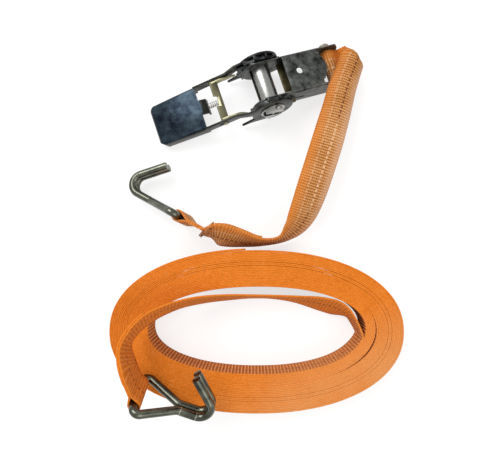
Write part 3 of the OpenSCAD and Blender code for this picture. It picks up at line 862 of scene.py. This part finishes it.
class TIEDOWN_OT_pawls(bpy.types.Operator):
    """Finishes both pawls, their springs and the end bolt with its nut"""

    bl_idname = "tiedown.pawls"
    bl_label = "Pawls, springs and bolt"

    def execute(self, context):
        s = steel()
        pawl = plated_steel("yellow_zinc", tuple(c * 0.5 for c in s.yellow), three(s.yellow),
                            rough=0.34, spots=0.15, patch=140.0, between=(0.3, 0.7))
        wire = plated_steel("spring_wire", (0.35, 0.33, 0.28), (0.62, 0.6, 0.54), rough=0.3,
                            spots=0.1)
        bolt = plated_steel("bolt_zinc", (0.16, 0.13, 0.09), (0.46, 0.42, 0.33), rough=0.36,
                            spots=0.2)
        dull = plated_steel("dull_zinc", (0.035, 0.03, 0.012), (0.17, 0.145, 0.07), rough=0.4,
                            spots=0.2)
        seat(dressed("drive_pawl", pawl), "drive_pawl", "drive_pawl")
        seat(dressed("lock_pawl", dull), "lock_pawl", "lock_pawl")
        for node, body, joint, way in (
                ("drive_spring", "handle", "drive_pawl_pull", handle_way((1, 0, 0))),
                ("lock_spring", "base", "lock_pawl_pull", base_way((-1, 0, 0)))):
            spring = dressed(node, wire, edge=0.0, angle=80.0)
            seat(spring, body, node)
            press(spring)
        for node in ("end_bolt", "end_nut"):
            seat(dressed(node, bolt, 0.0003), "base", node)
        return {"FINISHED"}


class TIEDOWN_OT_hooks(bpy.types.Operator):
    """Finishes the two bent wire hooks"""

    bl_idname = "tiedown.hooks"
    bl_label = "Hooks"

    def execute(self, context):
        wire = plated_steel("hook_zinc", (0.05, 0.056, 0.046), (0.2, 0.205, 0.16), rough=0.22,
                            spots=0.2, patch=100.0, between=(0.40, 0.80), metal=1.0)
        for node in ("short_hook", "long_hook"):
            seat(dressed(node, wire, 0.00035, 40.0), node, node)
        return {"FINISHED"}


class TIEDOWN_OT_short_strap(bpy.types.Operator):
    """Makes the short strap: its loop round the bolt, its fold and twist, and its sewn eye"""

    bl_idname = "tiedown.short_strap"
    bl_label = "Short strap"

    def execute(self, context):
        # at the bolt the strap's width points to the ratchet's near side
        near = spin(YAW, (0, -1, 0))
        route = [(base_point((BOLT_AT + LOOP_TONGUE + 0.05, TURN_ASIDE, BOLT_H)), near, 0.0)]
        route += [turn_row(i / 8) for i in range(9)]
        route += SHORT_RUN
        route += [(SHORT_EYE_AT - SHORT_WAY * (EYE_OUT + TONGUE_L + back), SHORT_UP, 0.0)
                  for back in (4, 1, 0.05)]
        rows = strap_rows(route, 6)
        lead, bolt_lap = two_layers(rows, -LAP_GAP, BOLT_LAP)
        hook_lap = two_layers(rows[::-1], -LAP_GAP, SHORT_HOOK_LAP)[1]
        bolt = base_point((BOLT_AT, TURN_ASIDE, BOLT_H))
        loop = loop_rows(bolt, near, base_way((1, 0, 0)), LOOP_IN, LOOP_TONGUE)
        eye = loop_rows(SHORT_EYE_AT, SHORT_UP, -SHORT_WAY, EYE_IN, EYE_OUT + TONGUE_L)
        path = bolt_lap[::-1] + ending_near(loop, lead[0][0]) + lead
        path += ending_near(eye, lead[-1][0])[::-1] + hook_lap
        cloth = webbing_cloth("webbing_short")
        strap, length = ribbon("short_strap_webbing", evenly(path, 2.0), WEB_W, WEB_T, cloth, 0.35)
        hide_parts("short_strap_loop", "short_strap", "short_strap_eye")
        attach(strap, "base")
        return {"FINISHED"}


class TIEDOWN_OT_long_strap(bpy.types.Operator):
    """Makes the long strap: sewn eye, lead, all turns of the coil and the loose end"""

    bl_idname = "tiedown.long_strap"
    bl_label = "Long strap"

    def execute(self, context):
        s = webbing()
        route = [(m, w, 0.0) for m, w in LONG_RUN]
        route += [(LONG_EYE_AT - LONG_WAY * (EYE_OUT + TONGUE_L + back), LONG_UP, 0.0)
                  for back in (6, 1.5, 0.05)]
        lead, lap = two_layers(strap_rows(route, 6)[::-1], LAP_GAP, LONG_HOOK_LAP)
        eye = loop_rows(LONG_EYE_AT, LONG_UP, -LONG_WAY, EYE_IN, EYE_OUT + TONGUE_L)
        path = evenly(lap[::-1] + ending_near(eye, lead[0][0]) + lead, 2.2)
        while (path[-1][0] - Vector(LONG_RUN[0][0])).length < JOIN_GAP:
            path.pop()
        lead_length = sum((b[0] - a[0]).length for a, b in zip(path, path[1:]))
        thick = s.layer / MM
        coil = coil_rows(s.turns, thick)
        # the lead runs into the first turn
        mids = [row[0] for row in (path[-4], path[-1], coil[0], coil[3])]
        join = [(curve_point(*mids, i / 8), path[-1][1].lerp(coil[0][1], i / 8), FLAT)
                for i in range(1, 8)]
        cloth = coil_cloth("webbing_coil", lead_length * MM)
        strap, length = ribbon("long_strap_webbing", path + join + coil, COIL_W, thick, cloth, 0.2)
        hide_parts("strap_coil", "strap_tail", "long_strap", "long_strap_eye")
        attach(strap, "long_strap")
        return {"FINISHED"}


def white_floor(colour, glow):
    """The floor: it takes shadows, and shows the camera and every gloss a white ground."""
    n = Nodes("floor_white")
    n.shader.inputs["Base Color"].default_value = (*colour, 1.0)
    n.shader.inputs["Roughness"].default_value = 0.9
    path = n.add("ShaderNodeLightPath")
    glossy = n.math("MAXIMUM", path.outputs["Is Glossy Ray"], path.outputs["Is Transmission Ray"])
    seen = n.math("MAXIMUM", path.outputs["Is Camera Ray"], glossy)
    white = n.add("ShaderNodeEmission", {"Color": (1, 1, 1, 1), "Strength": glow})
    faint = n.add("ShaderNodeBsdfDiffuse", {"Color": (0.36, 0.36, 0.36, 1)})
    both = n.add("ShaderNodeAddShader", {0: faint, 1: white})
    mix = n.add("ShaderNodeMixShader", {0: seen, 1: n.shader.outputs[0], 2: both})
    n.put(n.tree.nodes["Material Output"].inputs["Surface"], mix)
    return n.material


def even_world(strength):
    """A world that lights evenly and shows the camera plain white."""
    world = bpy.data.worlds.new("studio")
    world.use_nodes = True
    tree = world.node_tree
    light = tree.nodes["Background"]
    light.inputs["Color"].default_value = (1, 1, 1, 1)
    light.inputs["Strength"].default_value = strength
    white = tree.nodes.new("ShaderNodeBackground")
    white.inputs["Color"].default_value = (1, 1, 1, 1)
    which = tree.nodes.new("ShaderNodeMixShader")
    rays = tree.nodes.new("ShaderNodeLightPath")
    tree.links.new(rays.outputs["Is Camera Ray"], which.inputs[0])
    tree.links.new(light.outputs[0], which.inputs[1])
    tree.links.new(white.outputs[0], which.inputs[2])
    tree.links.new(which.outputs[0], tree.nodes["World Output"].inputs["Surface"])
    return world


class TIEDOWN_OT_stage(bpy.types.Operator):
    """Sets the pale floor and the soft lamps"""

    bl_idname = "tiedown.stage"
    bl_label = "Floor and light"

    def execute(self, context):
        s = studio()
        clear_selection()
        bpy.ops.mesh.primitive_plane_add(size=6.0, location=(0, 0, 0))
        floor = context.object
        floor.name = "floor"
        floor.data.materials.append(white_floor(s.floor, s.glow))
        context.scene.world = even_world(s.fill)
        for name, place, size, power in (("key", (-0.45, 0.55, 0.9), 0.7, s.key),
                                         ("fill", (0.6, -0.5, 0.8), 0.8, s.key * 0.45)):
            data = bpy.data.lights.new(name, "AREA")
            data.size = size
            data.energy = power
            lamp = bpy.data.objects.new(name, data)
            context.scene.collection.objects.link(lamp)
            # each lamp looks at the origin
            lamp.location = place
            lamp.rotation_euler = (-Vector(place)).to_track_quat("-Z", "Y").to_euler()
        context.scene.view_settings.view_transform = "Standard"
        return {"FINISHED"}


class TIEDOWN_PT_panel(bpy.types.Panel):
    """The steps in order, and their settings"""

    bl_idname = "TIEDOWN_PT_panel"
    bl_label = "Ratchet tie down"
    bl_space_type = "VIEW_3D"
    bl_region_type = "UI"
    bl_category = "Tie down"

    def draw(self, context):
        for step in STEPS:
            self.layout.operator(step.bl_idname)
        for name, kind in SETTINGS.items():
            box = self.layout.box()
            for setting in kind.__annotations__:
                box.prop(getattr(context.scene, name), setting)


STEPS = (TIEDOWN_OT_camera, TIEDOWN_OT_sheet_parts, TIEDOWN_OT_winding_gear, TIEDOWN_OT_pawls,
         TIEDOWN_OT_hooks, TIEDOWN_OT_short_strap, TIEDOWN_OT_long_strap, TIEDOWN_OT_stage)
SETTINGS = {"tiedown_webbing": WebbingSettings, "tiedown_steel": SteelSettings,
            "tiedown_studio": StudioSettings}
CLASSES = (*SETTINGS.values(), *STEPS, TIEDOWN_PT_panel)


def register():
    """Registers the classes and hangs the settings on the scene."""
    for kind in CLASSES:
        bpy.utils.register_class(kind)
    for name, kind in SETTINGS.items():
        setattr(bpy.types.Scene, name, bpy.props.PointerProperty(type=kind))


def unregister():
    """Takes the settings and the classes away again."""
    for name in SETTINGS:
        delattr(bpy.types.Scene, name)
    for kind in reversed(CLASSES):
        bpy.utils.unregister_class(kind)


# ---- making the whole scene -----------------------------------------------------


def main():
    """Makes the whole scene."""
    register()
    for step in STEPS:
        getattr(bpy.ops.tiedown, step.bl_idname.split(".")[1])()
    bpy.context.view_layer.update()


if __name__ == "__main__":
    main()
